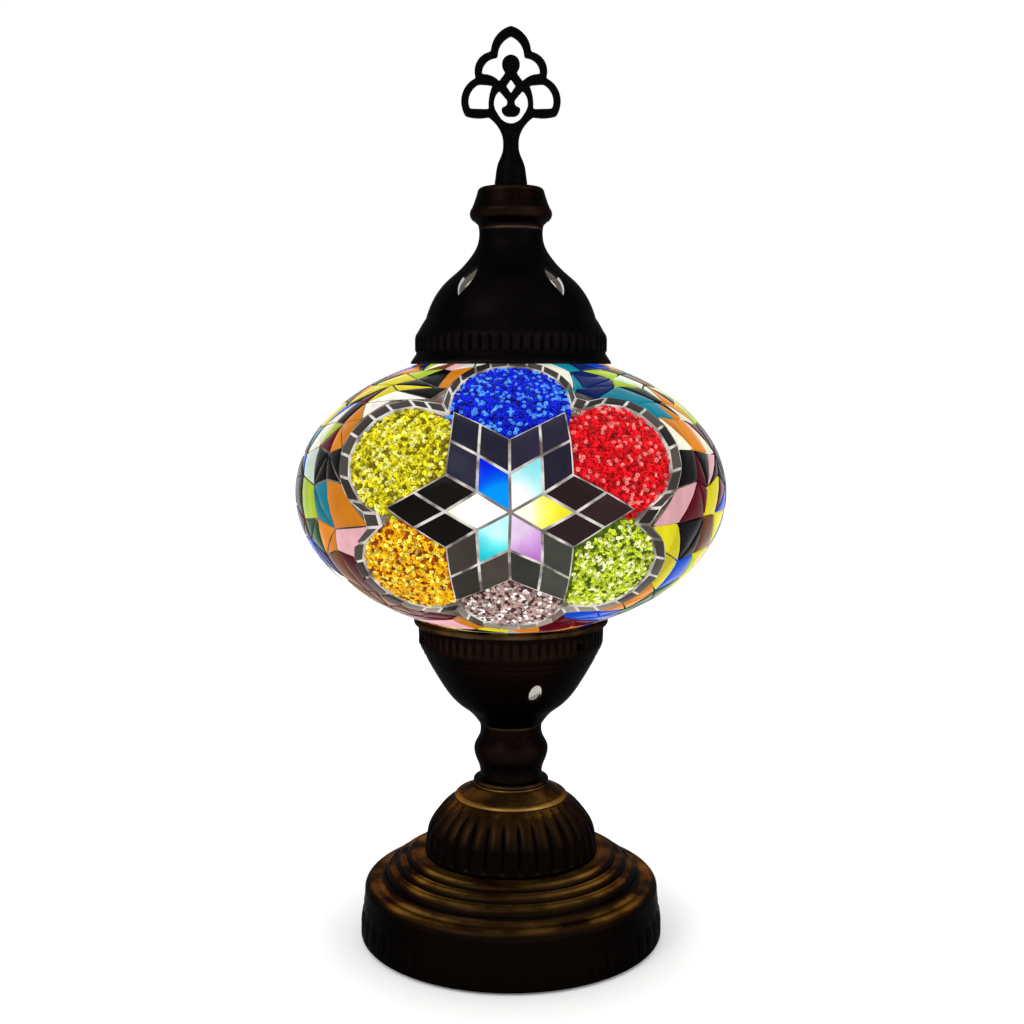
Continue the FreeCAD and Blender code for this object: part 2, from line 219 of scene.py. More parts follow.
def vent_cutter(long, wide, r, z, lean, angle, pointed):
    """A cutter for one vent, square to the wall at (r, z), at an angle about the lamp's axis.
    It is an oval, or has a point at each end."""
    bm = bmesh.new()
    bmesh.ops.create_circle(bm, cap_ends=True, segments=32, radius=1)
    for v in bm.verts if pointed else ():
        v.co.x = math.copysign(1 - v.co.y ** 2, v.co.x) if abs(v.co.x) > 1e-6 else 0
    bmesh.ops.remove_doubles(bm, verts=bm.verts, dist=1e-5)
    bmesh.ops.scale(bm, vec=(wide / 2, long / 2, 1), verts=bm.verts)
    tube = bmesh.ops.extrude_face_region(bm, geom=bm.faces[:])["geom"]
    bmesh.ops.translate(bm, vec=(0, 0, 16), verts=[g for g in tube if isinstance(g, bmesh.types.BMVert)])
    bmesh.ops.translate(bm, vec=(0, 0, -8), verts=bm.verts)
    upright = Matrix(((0, 0, 1, 0), (1, 0, 0, 0), (0, 1, 0, 0), (0, 0, 0, 1)))
    place = (Matrix.Scale(MM, 4) @ Matrix.Rotation(math.radians(angle), 4, "Z")
             @ Matrix.Translation((r, 0, z)) @ Matrix.Rotation(math.radians(lean), 4, "Y") @ upright)
    bmesh.ops.transform(bm, matrix=place, verts=bm.verts)
    bmesh.ops.recalc_face_normals(bm, faces=bm.faces)
    mesh = bpy.data.meshes.new("vent_cutter")
    bm.to_mesh(mesh)
    bm.free()
    return bpy.data.objects.new("vent_cutter", mesh)


def pierce(obj, cutters):
    """Cuts the vents through a wall and forgets the cutters."""
    for cutter in cutters:
        bpy.context.scene.collection.objects.link(cutter)
        cut = obj.modifiers.new("vent", "BOOLEAN")
        cut.operation, cut.solver, cut.object = "DIFFERENCE", "MANIFOLD", cutter
    applied(obj)
    for cutter in cutters:
        bpy.data.meshes.remove(cutter.data)
    return obj


def light_inside(obj, low, high):
    """Gives the inner wall between two heights a glowing finish that paints on the bulb's light on the metal.
    """
    obj.data.materials.append(LIT_INSIDE)
    for face in obj.data.polygons:
        inwards = face.normal.x * face.center.x + face.normal.y * face.center.y < 0
        if inwards and low < face.center.z / MM < high:
            face.material_index = 1


def mark_wear_and_painted_light(obj, sharp, above, passes=2):
    """Stores how proud each point stands, from 0 in hollows to 1 on ridges, as a point attribute: wear
    rubbed through on the ridges, which also serves as painted highlight there. It grows from nothing to
    its full amount between the two heights in above, as painted lamplight from the globe on upper parts."""
    mesh = obj.data
    count = len(mesh.vertices)
    co = np.zeros(count * 3)
    mesh.vertices.foreach_get("co", co)
    co = co.reshape(-1, 3) / MM
    normal = np.zeros(count * 3)
    mesh.vertices.foreach_get("normal", normal)
    normal = normal.reshape(-1, 3)
    ends = np.zeros(len(mesh.edges) * 2, int)
    mesh.edges.foreach_get("vertices", ends)
    a, b = ends.reshape(-1, 2).T
    length = ((co[a] - co[b]) ** 2).sum(1) + 1e-6
    bend, valence = np.zeros(count), np.zeros(count)
    for here, there in ((a, b), (b, a)):
        np.add.at(bend, here, ((co[here] - co[there]) * normal[here]).sum(1) / length)
        np.add.at(valence, here, 1)
    bend /= np.maximum(valence, 1)
    for _ in range(passes):
        spread = np.zeros(count)
        np.add.at(spread, a, bend[b])
        np.add.at(spread, b, bend[a])
        bend = 0.5 * bend + 0.5 * spread / np.maximum(valence, 1)
    wear_and_painted_light = np.clip(bend / sharp, 0, 1) * np.clip((co[:, 2] - above[0]) / (above[1] - above[0]), 0, 1)
    mesh.attributes.new("wear_and_painted_light", "FLOAT", "POINT").data.foreach_set("value", wear_and_painted_light.astype(np.float32))
    return obj


# ---- the globe's surface ----
def on_globe(flat, turn):
    """Wraps points from the flat layout on the globe. flat holds across, up and lift; across and
    up are lengths over the glass from the medallion's middle, and lift is off the surface."""
    across, up, lift = flat[:, 0], flat[:, 1], flat[:, 2]
    rho, beta = np.hypot(across, up), np.arctan2(up, across)
    half = 1 / np.sqrt((np.cos(beta) / GLOBE_R) ** 2 + (np.sin(beta) / GLOBE_HALF) ** 2)
    t = rho / np.sqrt(GLOBE_R * half)
    for _ in range(6):
        t = t - (arc_length(t, half) - rho) / np.hypot(GLOBE_R * np.sin(t), half * np.cos(t))
    out = half * np.sin(t)
    place = np.stack([out * np.cos(beta), -GLOBE_R * np.cos(t), out * np.sin(beta)], 1)
    normal = place / np.array([GLOBE_R ** 2, GLOBE_R ** 2, GLOBE_HALF ** 2])
    normal /= np.linalg.norm(normal, axis=1)[:, None]
    place = place + normal * lift[:, None] + np.array([0, 0, GLOBE_Z])
    spin = np.array(Matrix.Rotation(turn, 3, "Z"))
    return place @ spin.T * MM, normal @ spin.T


def arc_length(t, half):
    """Length over the glass from the medallion's middle to the angle t, by Simpson's rule."""
    panels = 16
    total = 0
    for k in range(panels + 1):
        weight = 1 if k in (0, panels) else 2 + 2 * (k % 2)
        total = total + weight * np.hypot(GLOBE_R * np.sin(t * k / panels), half * np.cos(t * k / panels))
    return total * t / panels / 3


def wrap(bm, turn):
    """Moves a flat mesh on to the globe."""
    flat = np.array([v.co for v in bm.verts])
    for v, place in zip(bm.verts, on_globe(flat, turn)[0]):
        v.co = place


def reach(beta, radius):
    """Length over the glass, in each direction beta, to where the globe is this far from the axis."""
    low, high = np.zeros(len(beta)), np.full(len(beta), 140.0)
    for _ in range(24):
        middle = (low + high) / 2
        at = on_globe(np.stack([middle * np.cos(beta), middle * np.sin(beta), 0 * beta], 1), FRONT)[0] / MM
        inside = (at[:, 1] < 0) & (np.hypot(at[:, 0], at[:, 1]) > radius)
        low, high = np.where(inside, middle, low), np.where(inside, high, middle)
    return low


# ---- tiles ----
def paint(bm, colour_of):
    """Gives each face its colour. colour_of takes the face's middle and returns red, green,
    blue and how clear the glass is."""
    tint = bm.loops.layers.float_color.new("tint")
    for face in bm.faces:
        colour = colour_of(face.calc_center_median())
        for loop in face.loops:
            loop[tint] = colour


def cut_tiles(bm, gap, cuts):
    """Turns flat cells into separate tiles with eased upper edges, their faces at height 0."""
    rims = bmesh.ops.inset_individual(bm, faces=bm.faces[:], thickness=gap / 2, use_even_offset=True)["faces"]
    bmesh.ops.delete(bm, geom=rims, context="FACES")
    bmesh.ops.subdivide_edges(bm, edges=bm.edges[:], cuts=cuts, use_grid_fill=True)
    bmesh.ops.solidify(bm, geom=bm.faces[:], thickness=TILE_T)
    top = max(v.co.z for v in bm.verts)
    bmesh.ops.translate(bm, vec=(0, 0, -top), verts=bm.verts)
    upper = [e for e in bm.edges if all(v.co.z > -0.1 for v in e.verts)
             and len(e.link_faces) == 2 and e.calc_face_angle(0.0) > 1]
    bmesh.ops.bevel(bm, geom=upper, offset=TILE_EDGE, segments=2, profile=0.5, affect="EDGES",
                    material=-1)


def bed(bm):
    """The grout that flat cells are laid in, a little below their faces."""
    bmesh.ops.subdivide_edges(bm, edges=bm.edges[:], cuts=CELL_CUTS, use_grid_fill=True)
    bmesh.ops.solidify(bm, geom=bm.faces[:], thickness=GROUT_T)
    top = max(v.co.z for v in bm.verts)
    bmesh.ops.translate(bm, vec=(0, 0, -GROUT_DROP - top), verts=bm.verts)


def star_cells():
    """The star: six arms, each a rhombus of two by two small ones, set a little unevenly."""
    bm = bmesh.new()
    bmesh.ops.create_grid(bm, x_segments=2, y_segments=2, size=1)
    shear = Matrix(((math.cos(math.pi / 6), math.cos(math.pi / 6), 0, 0), (-0.5, 0.5, 0, 0),
                    (0, 0, 1, 0), (0, 0, 0, 1)))
    bmesh.ops.translate(bm, vec=(1, 1, 0), verts=bm.verts)
    bmesh.ops.transform(bm, matrix=shear @ Matrix.Scale(STAR_CELL, 4), verts=bm.verts)
    bmesh.ops.spin(bm, geom=bm.faces[:], axis=(0, 0, 1), cent=(0, 0, 0), steps=5,
                   angle=math.radians(300), use_duplicate=True)
    bmesh.ops.remove_doubles(bm, verts=bm.verts, dist=0.01)
    uneven = random.Random(3)
    for v in bm.verts:
        v.co.x += uneven.uniform(-0.4, 0.4) - 0.4
        v.co.y += uneven.uniform(-0.4, 0.4) + 0.3
    return bm


# the star's six arms, from the right and upwards: the glass at the heart, how clearly the bulb
# shows through it, and the smoky glass of the other three tiles
STAR_HEARTS = ("bright_yellow", "ice", "deep_blue", "cream", "turquoise", "lilac")
STAR_CLEAR = (1.0, 1.0, 0.80, 1.0, 0.92, 0.80)
STAR_SMOKE = ((0.030, 0.015, 0.017), (0.026, 0.022, 0.045), (0.024, 0.024, 0.046),
              (0.008, 0.006, 0.005), (0.050, 0.042, 0.034), (0.046, 0.048, 0.040))


def star_colour(middle):
    arm = round(math.atan2(middle.y, middle.x) / (math.pi / 3)) % 6
    if math.hypot(middle.x, middle.y) < STAR_CELL * 1.2:
        return (*GLASS[STAR_HEARTS[arm]], STAR_CLEAR[arm])
    shade = random.uniform(0.6, 1.35)
    return (*[c * shade for c in STAR_SMOKE[arm]], 0.0)


def petal_edge(beta):
    """How far the fields of beads reach from the medallion's middle in each direction beta."""
    far = np.full(len(beta), STAR_CELL * math.sqrt(3) * 2 + 0.6)
    for x, y, r in PETALS.values():
        along = x * np.cos(beta) + y * np.sin(beta)
        off = (r + 0.7) ** 2 - (x * x + y * y - along * along)
        edge = along + np.sqrt(np.maximum(off, 0))
        far = np.where((along > 0) & (off > 0), np.maximum(far, edge), far)
    return far


# the edges of the ring all round: it follows the petals and stops where the mosaic does
ROUND = np.linspace(-math.pi, math.pi, 721)
MOSAIC_END = reach(ROUND, MOSAIC_END_R)
RING_IN = np.minimum(petal_edge(ROUND), MOSAIC_END - 1.5)
RING_OUT = np.minimum(RING_IN + RING_W, MOSAIC_END)
SIDE_HALF = 1 / np.sqrt((np.cos(ROUND) / GLOBE_R) ** 2 + (np.sin(ROUND) / GLOBE_HALF) ** 2)
TO_SIDE = arc_length(np.full(len(ROUND), math.pi / 2), SIDE_HALF)


def ring_edges(beta):
    """Inner and outer edge of the ring of dark tiles in direction beta."""
    beta = math.remainder(beta, math.tau)
    return float(np.interp(beta, ROUND, RING_IN)), float(np.interp(beta, ROUND, RING_OUT))


def ring_cells():
    """The ring: one row of tiles of about equal length."""
    fine = 720
    angles = [math.tau * k / fine for k in range(fine + 1)]
    edges = [ring_edges(a) for a in angles]
    middle = [(sum(e) / 2 * math.cos(a), sum(e) / 2 * math.sin(a)) for a, e in zip(angles, edges)]
    run = [0.0]
    for p, q in zip(middle, middle[1:]):
        run.append(run[-1] + math.dist(p, q))
    count = round(run[-1] / RING_TILE)
    bm = bmesh.new()
    bmesh.ops.create_grid(bm, x_segments=count, y_segments=1, size=1)
    uneven = random.Random(5)
    nudges = [uneven.uniform(-0.9, 0.9) for _ in range(count)]
    for v in bm.verts:
        k = round((v.co.x + 1) / 2 * count)
        beta = float(np.interp(run[-1] * k / count + nudges[k % count] * (0 < k < count), run, angles))
        rho = ring_edges(beta)[1 if v.co.y > 0 else 0]
        v.co = Vector((rho * math.cos(beta), rho * math.sin(beta), 0))
    bmesh.ops.remove_doubles(bm, verts=bm.verts, dist=0.01)
    return bm


def ring_colour(middle):
    """Smoky glass, paler in the few tiles at the foot of the ring."""
    shade = random.uniform(0.3, 1.9)
    base = (0.22, 0.18, 0.14) if middle.y < -45 else (0.050, 0.042, 0.036)
    return (*[c * shade for c in base], 0.0)


def in_star(x, y, margin):
    """Whether a point of the flat layout is on the star, widened by margin."""
    rho, beta = math.hypot(x, y), math.atan2(y, x)
    off_arm = (beta + math.pi / 6) % (math.pi / 3) - math.pi / 6
    along, side = rho * math.cos(off_arm), rho * abs(math.sin(off_arm))
    tip = 2 * math.sqrt(3) * STAR_CELL
    return side - margin < (tip - along) * math.tan(math.pi / 6) or along < tip / 2


def petal_at(x, y, margin):
    """The field that a point of the flat layout is in, or None."""
    if in_star(x, y, margin):
        return None
    best = min(PETALS, key=lambda p: math.hypot(x - PETALS[p][0], y - PETALS[p][1]) / PETALS[p][2])
    cx, cy, r = PETALS[best]
    beta = math.atan2(y, x)
    if math.hypot(x, y) > ring_edges(beta)[0] - margin:
        return None
    return best if math.hypot(x - cx, y - cy) < r * FIELD_REACH - margin else None


# the darks also colour the bed behind the beads, as painted shade in the gaps between them
BEADS = {  # the glass, its lights and its darks, and the bed behind them
    "blue": ((0.0, 0.012, 0.62), (0.07, 0.30, 1.0), (0.0, 0.002, 0.24)),
    "red": ((0.72, 0.004, 0.010), (1.0, 0.20, 0.18), (0.40, 0.0, 0.003)),
    "lime": ((0.52, 0.64, 0.03), (0.95, 1.0, 0.45), (0.07, 0.12, 0.003)),
    "clear": ((0.42, 0.28, 0.25), (1.0, 0.92, 0.88), (0.08, 0.03, 0.025)),
    "orange": ((0.95, 0.46, 0.002), (1.0, 0.80, 0.10), (0.28, 0.05, 0.0)),
    "yellow": ((0.72, 0.64, 0.010), (1.0, 0.95, 0.22), (0.20, 0.16, 0.002)),
}


def bead():
    """One seed bead, a small ring of glass."""
    bm = bmesh.new()
    thick = (BEAD_R - BEAD_HOLE) / 2
    bmesh.ops.create_circle(bm, segments=5, radius=thick)
    turn = Matrix.Translation((BEAD_HOLE + thick, 0, 0)) @ Matrix.Rotation(math.pi / 2, 4, "X")
    bmesh.ops.transform(bm, matrix=turn @ Matrix.Scale(1.25, 4, (0, 1, 0)), verts=bm.verts)
    bmesh.ops.spin(bm, geom=bm.verts[:] + bm.edges[:], axis=(0, 0, 1), cent=(0, 0, 0), steps=8,
                   angle=math.tau, use_merge=True)
    bmesh.ops.remove_doubles(bm, verts=bm.verts, dist=0.01)
    bmesh.ops.recalc_face_normals(bm, faces=bm.faces)
    mesh = bpy.data.meshes.new("bead")
    bm.to_mesh(mesh)
    bm.free()
    return mesh


def bead_field(petal, turn, loose):
    """A field of beads lying every way up, one against another, on their bed."""
    cx, cy, r = PETALS[petal]
    spots = []
    rows = int(r * FIELD_ROOM / BEAD_STEP) + 1
    for j in range(-rows, rows + 1):
        for i in range(-rows, rows + 1):
            x = cx + (i + 0.5 * (j % 2)) * BEAD_STEP + loose.uniform(-BEAD_STRAY, BEAD_STRAY)
            y = cy + j * BEAD_STEP * 0.87 + loose.uniform(-BEAD_STRAY, BEAD_STRAY)
            if petal_at(x, y, 1.0) == petal:
                spots.append((x, y, -BEAD_R - 0.05 + loose.uniform(-0.15, 0.1)))
    places, normals = on_globe(np.array(spots), turn)
    bm = bmesh.new()
    tint = bm.loops.layers.float_color.new("tint")
    main, light, dark = BEADS[petal]
    for place, normal in zip(places, normals):
        first, first_face = len(bm.verts), len(bm.faces)
        bm.from_mesh(BEAD)
        bm.verts.ensure_lookup_table()
        bm.faces.ensure_lookup_table()
        lean = Matrix.Rotation(loose.choice((0.25, 0.6, 1.2)) * loose.uniform(0.6, 1.2), 4, "X")
        lay = Vector(normal).to_track_quat("Z", "Y").to_matrix().to_4x4()
        any_way = Matrix.Rotation(loose.uniform(0, math.tau), 4, "Z")
        size = Matrix.Scale(MM * loose.uniform(0.88, 1.0), 4)
        bmesh.ops.transform(bm, matrix=Matrix.Translation(place) @ lay @ any_way @ lean @ size,
                            verts=bm.verts[first:])
        pick = loose.random()
        colour = light if pick < 0.22 else dark if pick > 0.84 else main
        shade = loose.uniform(0.75, 1.2)
        colour = (*[min(1.0, c * shade) for c in colour], 0.0)
        for face in bm.faces[first_face:]:
            for loop in face.loops:
                loop[tint] = colour
    return bm


def petal_bed(petal, turn):
    """The sheet that a field of beads lies on."""
    cx, cy, r = PETALS[petal]
    bm = bmesh.new()
    bmesh.ops.create_grid(bm, x_segments=36, y_segments=36, size=r * FIELD_ROOM)
    bmesh.ops.translate(bm, vec=(cx, cy, 0), verts=bm.verts)
    off = [f for f in bm.faces if petal_at(*f.calc_center_median()[:2], -0.7) != petal]
    bmesh.ops.delete(bm, geom=off, context="FACES")
    # painted shade: the bed takes the field's dark glass colour for the shade between the beads
    dark = BEADS[petal][2]
    paint(bm, lambda middle: (*dark, 0.0))
    bmesh.ops.solidify(bm, geom=bm.faces[:], thickness=BEAD_BED_T)
    top = max(v.co.z for v in bm.verts)
    bmesh.ops.translate(bm, vec=(0, 0, -BEAD_BED_DROP - top), verts=bm.verts)
    wrap(bm, turn)
    return bm


# ---- side bands: cells laid in rows from the front ring to the rear ring ----
BAND_PLAN = {  # rows from the front ring outwards, each from the top down; the rest is mixed
    "right": (
        "pale teal navy teal amber black pink yellow yellow amber blue maroon amber",
        "teal navy lime black amber maroon maroon black blue green blue maroon brown",
        "navy lime pale amber cream pink yellow black yellow green green maroon amber",
    ),
    "left": (
        "pale amber black white amber black amber pink maroon brown maroon amber yellow",
        "pink black yellow maroon maroon black teal amber black brown maroon pink black",
        "cream lime yellow black cream pale lime green navy cream pink brown yellow",
    ),
}
# the glass of all other rows; a name that stands here more often is laid more often
MIXED = ("yellow", "amber", "black", "teal", "pink", "blue", "maroon", "green", "black", "lime", "navy",
         "cream", "brown", "amber", "black", "black", "maroon", "black")


def band_cells(side):
    """A band of rough quads and triangles, as cut from strips of glass. x is along the band,
    from its bottom to its top, and y is across it, from the front ring to the rear ring."""
    bm = bmesh.new()
    bmesh.ops.create_grid(bm, x_segments=BAND_COLUMNS, y_segments=BAND_ROWS, size=1)
    uneven = random.Random(11 if side == "right" else 12)
    width, height = BAND_COLUMNS * BAND_CELL / 2, BAND_ROWS * BAND_CELL / 2
    for v in bm.verts:
        at_end, at_ring = abs(v.co.x) > 0.99, abs(v.co.y) > 0.99
        v.co.x = v.co.x * width + (0 if at_end else uneven.uniform(-0.24, 0.24) * BAND_CELL)
        v.co.y = v.co.y * height + (0 if at_ring else uneven.uniform(-0.24, 0.24) * BAND_CELL)
    split = [f for f in bm.faces if uneven.random() < 0.55]
    long_way = [f for f in split if uneven.random() < 0.5]
    bmesh.ops.triangulate(bm, faces=long_way, quad_method="FIXED")
    bmesh.ops.triangulate(bm, faces=[f for f in split if f.is_valid and f not in long_way],
                          quad_method="ALTERNATE")
    return bm


def band_colour(side):
    rows = [line.split() for line in BAND_PLAN[side]]
    mixed = random.Random(21 if side == "right" else 22)

    def colour(middle):
        fall = 0.5 - middle.x / (BAND_COLUMNS * BAND_CELL)
        row = int(BAND_ROWS / 2 + middle.y / BAND_CELL)
        name = mixed.choice(MIXED)
        if row < len(rows) and mixed.random() > 0.12:
            name = rows[row][min(len(rows[row]) - 1, int(fall * len(rows[row])))]
        shade = mixed.uniform(0.8, 1.15)
        return (*[min(1.0, c * shade) for c in GLASS[name]], 0.15)
    return colour


def band_reach(beta, w):
    """Length over the glass from the medallion's middle, from the ring (w 0) to the side (w 1)."""
    near = np.interp(beta, ROUND, RING_OUT) + 0.3
    return near + (np.interp(beta, ROUND, TO_SIDE) - near) * w


def band_ends():
    """For steps from the ring to the side: the directions in which the band meets the mosaic's
    end at the top and at the bottom."""
    steps = np.linspace(0, 1, 9)
    ends = []
    for up in (1, -1):
        low, high = np.zeros(9), np.full(9, math.pi / 2)
        for _ in range(24):
            beta = (low + high) / 2
            rho = band_reach(beta * up, steps)
            flat = np.stack([rho * np.cos(beta), rho * np.sin(beta), 0 * rho], 1)
            at = on_globe(flat, FRONT)[0] / MM
            inside = np.hypot(at[:, 0], at[:, 1]) > MOSAIC_END_R
            low, high = np.where(inside, beta, low), np.where(inside, high, beta)
        ends.append(low)
    return steps, ends


def band_layout(side):
    """Places the band's flat cells beside the medallions: in the flat layout of the front one
    up to the side of the globe, and beyond that in the rear one's."""
    hand = 1 if side == "right" else -1
    steps, (tops, bottoms) = band_ends()

    def lay(flat, rear):
        s = flat[:, 0] / (BAND_COLUMNS * BAND_CELL / 2)
        w = np.clip(1 - np.abs(flat[:, 1]) / (BAND_ROWS * BAND_CELL / 2), 0, 1)
        beta = np.where(s > 0, s * np.interp(w, steps, tops), s * np.interp(w, steps, bottoms))
        rho = band_reach(beta, w)
        across = rho * np.cos(beta) * hand * (-1 if rear else 1)
        return np.stack([across, rho * np.sin(beta), flat[:, 2]], 1)
    return lay


def unroll(place, turn):
    """The flat layout's across and up for points on the globe: the reverse of on_globe."""
    spin = np.array(Matrix.Rotation(turn, 3, "Z"))
    x, y, z = ((place / MM) @ spin - np.array([0, 0, GLOBE_Z])).T
    beta = np.arctan2(z, x)
    half = 1 / np.sqrt((np.cos(beta) / GLOBE_R) ** 2 + (np.sin(beta) / GLOBE_HALF) ** 2)
    rho = arc_length(np.arccos(np.clip(-y / GLOBE_R, -1, 1)), half)
    return np.stack([rho * np.cos(beta), rho * np.sin(beta), 0 * rho], 1)


def settle_band(bm, side):
    """Moves the corners of a band's cells to their places in the flat layout of that side."""
    lay = band_layout(side)
    flat = np.array([v.co for v in bm.verts])
    front = on_globe(lay(flat, False), FRONT)[0]
    rear = on_globe(lay(flat, True), REAR)[0]
    place = np.where(flat[:, 1:2] <= 0, front, rear)
    for v, there in zip(bm.verts, unroll(place, SIDE_TURN[side])):
        v.co = there
    bmesh.ops.remove_doubles(bm, verts=bm.verts, dist=BAND_NARROWEST)
    small = [f for f in bm.faces if f.calc_area() < BAND_SMALLEST]
    bmesh.ops.delete(bm, geom=small, context="FACES")
    bm.normal_update()
    bmesh.ops.reverse_faces(bm, faces=[f for f in bm.faces if f.normal.z < 0])
    bm.normal_update()


# ---- finishes ----
HOT_SPOT = (-2.0, 0.5)  # the bulb shows this far aside and above the medallion's middle


def new_finish(name, roughness, metallic=0.0, specular=0.5):
    finish = bpy.data.materials.new(name)
    finish.use_nodes = True
    nodes, links = finish.node_tree.nodes, finish.node_tree.links
    shader = nodes["Principled BSDF"]
    shader.inputs["Roughness"].default_value = roughness
    shader.inputs["Metallic"].default_value = metallic
    shader.inputs["Specular IOR Level"].default_value = specular
    return finish, nodes, links, shader


def noise(nodes, links, scale, detail=3.0, stretch=(1, 1, 1)):
    """Cloudy noise in object space, with features about 1/scale metres across."""
    where = nodes.new("ShaderNodeTexCoord")
    mapping = nodes.new("ShaderNodeMapping")
    mapping.inputs["Scale"].default_value = stretch
    cloud = nodes.new("ShaderNodeTexNoise")
    cloud.inputs["Scale"].default_value = scale
    cloud.inputs["Detail"].default_value = detail
    links.new(where.outputs["Object"], mapping.inputs["Vector"])
    links.new(mapping.outputs["Vector"], cloud.inputs["Vector"])
    return cloud.outputs["Fac"]


def spread(nodes, links, value, low, high, to_low=0.0, to_high=1.0):
    rng = nodes.new("ShaderNodeMapRange")
    rng.inputs["From Min"].default_value = low
    rng.inputs["From Max"].default_value = high
    rng.inputs["To Min"].default_value = to_low
    rng.inputs["To Max"].default_value = to_high
    links.new(value, rng.inputs["Value"])
    return rng.outputs["Result"]


def blend(nodes, links, factor, first, second):
    """Mixes two colours; each is a colour or another node's output."""
    mix = nodes.new("ShaderNodeMix")
    mix.data_type = "RGBA"
    if isinstance(factor, float):
        mix.inputs["Factor"].default_value = factor
    else:
        links.new(factor, mix.inputs["Factor"])
    for socket, colour in (("A", first), ("B", second)):
        put = [s for s in mix.inputs if s.name == socket and s.type == "RGBA"][0]
        if isinstance(colour, tuple):
            put.default_value = (*colour[:3], 1)
        else:
            links.new(colour, put)
    return [s for s in mix.outputs if s.type == "RGBA"][0]


def work(nodes, links, operation, first, second):
    node = nodes.new("ShaderNodeMath")
    node.operation = operation
    node.use_clamp = True
    for socket, value in zip(node.inputs, (first, second)):
        if isinstance(value, (int, float)):
            socket.default_value = value
        else:
            links.new(value, socket)
    return node.outputs[0]


def bump(nodes, links, shader, height, strength, distance):
    node = nodes.new("ShaderNodeBump")
    node.inputs["Strength"].default_value = strength
    node.inputs["Distance"].default_value = distance * MM
    links.new(height, node.inputs["Height"])
    links.new(node.outputs["Normal"], shader.inputs["Normal"])


def antique_brass(name, patina, bronze, gold, top_light_share, rough=0.34):
    """Cast or spun brass under a dark patina, rubbed through on ridges, where the point attribute it reads
    also carries painted highlights and painted lamplight; faces that look up get painted lamplight from
    the globe above, in the share given per finish."""
    finish, nodes, links, shader = new_finish(name, rough, metallic=0.92, specular=0.10)
    shader.inputs["Specular Tint"].default_value = (0.10, 0.075, 0.055, 1)
    rub_and_shine = nodes.new("ShaderNodeAttribute")
    rub_and_shine.attribute_name = "wear_and_painted_light"
    patches = spread(nodes, links, noise(nodes, links, 60, 4), 0.35, 0.68, 0.45, 1.0)
    fine = spread(nodes, links, noise(nodes, links, 900, 3), 0.35, 0.7)
    facing = nodes.new("ShaderNodeTexCoord")
    split = nodes.new("ShaderNodeSeparateXYZ")
    links.new(facing.outputs["Normal"], split.inputs[0])
    # painted lamplight: faces that look up are coloured towards bronze and gold, as if lit by the globe above
    up = spread(nodes, links, split.outputs["Z"], 0.46, 0.96, 0.0, top_light_share)
    # rubbed-through ridges, which also stand for painted highlights on the ridge lines
    worn_and_lit = work(nodes, links, "MULTIPLY", rub_and_shine.outputs["Fac"], patches)
    worn_and_lit = work(nodes, links, "MAXIMUM", worn_and_lit, work(nodes, links, "MULTIPLY", up, patches))
    ground = blend(nodes, links, fine, patina, tuple(c * 1.9 for c in patina))
    body = blend(nodes, links, spread(nodes, links, worn_and_lit, 0.02, 0.45), ground, bronze)
    colour = blend(nodes, links, spread(nodes, links, worn_and_lit, 0.4, 1.0), body, gold)
    links.new(colour, shader.inputs["Base Color"])
    links.new(spread(nodes, links, fine, 0, 1, rough - 0.06, rough + 0.12), shader.inputs["Roughness"])
    bump(nodes, links, shader, noise(nodes, links, 1400, 2), 0.25, 0.05)
    return finish


def from_middle(nodes, links, aside=0.0, above=0.0):
    """Distance from the middle of the medallions, seen square on."""
    where = nodes.new("ShaderNodeTexCoord")
    centre = nodes.new("ShaderNodeMapping")
    centre.inputs["Location"].default_value = (-aside * MM, 0, -(GLOBE_Z + above) * MM)
    flat = nodes.new("ShaderNodeVectorMath")
    flat.operation = "MULTIPLY"
    flat.inputs[1].default_value = (1, 0, 1)
    far = nodes.new("ShaderNodeVectorMath")
    far.operation = "LENGTH"
    links.new(where.outputs["Object"], centre.inputs["Vector"])
    links.new(centre.outputs["Vector"], flat.inputs[0])
    links.new(flat.outputs[0], far.inputs[0])
    return far.outputs["Value"]


def lit_glass(name):
    """Coloured glass with the bulb's light from inside painted on as glow. The attribute tint holds
    its colour and, as alpha, how clearly the bulb shows through: there the painted glow burns out to
    white behind the medallion's middle, a painted hot spot, and all of it fades a little further out."""
    finish, nodes, links, shader = new_finish(name, 0.16, specular=0.03)
    tint = nodes.new("ShaderNodeAttribute")
    tint.attribute_name = "tint"
    far = from_middle(nodes, links, *HOT_SPOT)
    hot = spread(nodes, links, far, 9 * MM, 19 * MM, 1.0, 0.0)
    # painted light: the glow is a little stronger near the medallion's middle, where the bulb is
    near = spread(nodes, links, far, 10 * MM, 75 * MM, 1.12, 0.9)
    streaks = spread(nodes, links, noise(nodes, links, 180, 2, (1, 1, 0.5)), 0.3, 0.7, 0.86, 1.10)
    clear = work(nodes, links, "MULTIPLY", hot, tint.outputs["Alpha"])
    burnt = nodes.new("ShaderNodeGamma")
    links.new(tint.outputs["Color"], burnt.inputs["Color"])
    links.new(spread(nodes, links, clear, 0, 1, 1.0, 0.06), burnt.inputs["Gamma"])
    scale = nodes.new("ShaderNodeVectorMath")
    scale.operation = "SCALE"
    strength = nodes.new("ShaderNodeMath")
    strength.operation = "MULTIPLY"
    links.new(near, strength.inputs[0])
    links.new(streaks, strength.inputs[1])
    links.new(burnt.outputs["Color"], scale.inputs[0])
    links.new(strength.outputs[0], scale.inputs["Scale"])
    links.new(scale.outputs[0], shader.inputs["Emission Color"])
    shader.inputs["Emission Strength"].default_value = 1.0
    links.new(blend(nodes, links, 0.95, tint.outputs["Color"], (0.0, 0.0, 0.0)), shader.inputs["Base Color"])
    bump(nodes, links, shader, noise(nodes, links, 160, 2), 0.18, 0.12)
    return finish


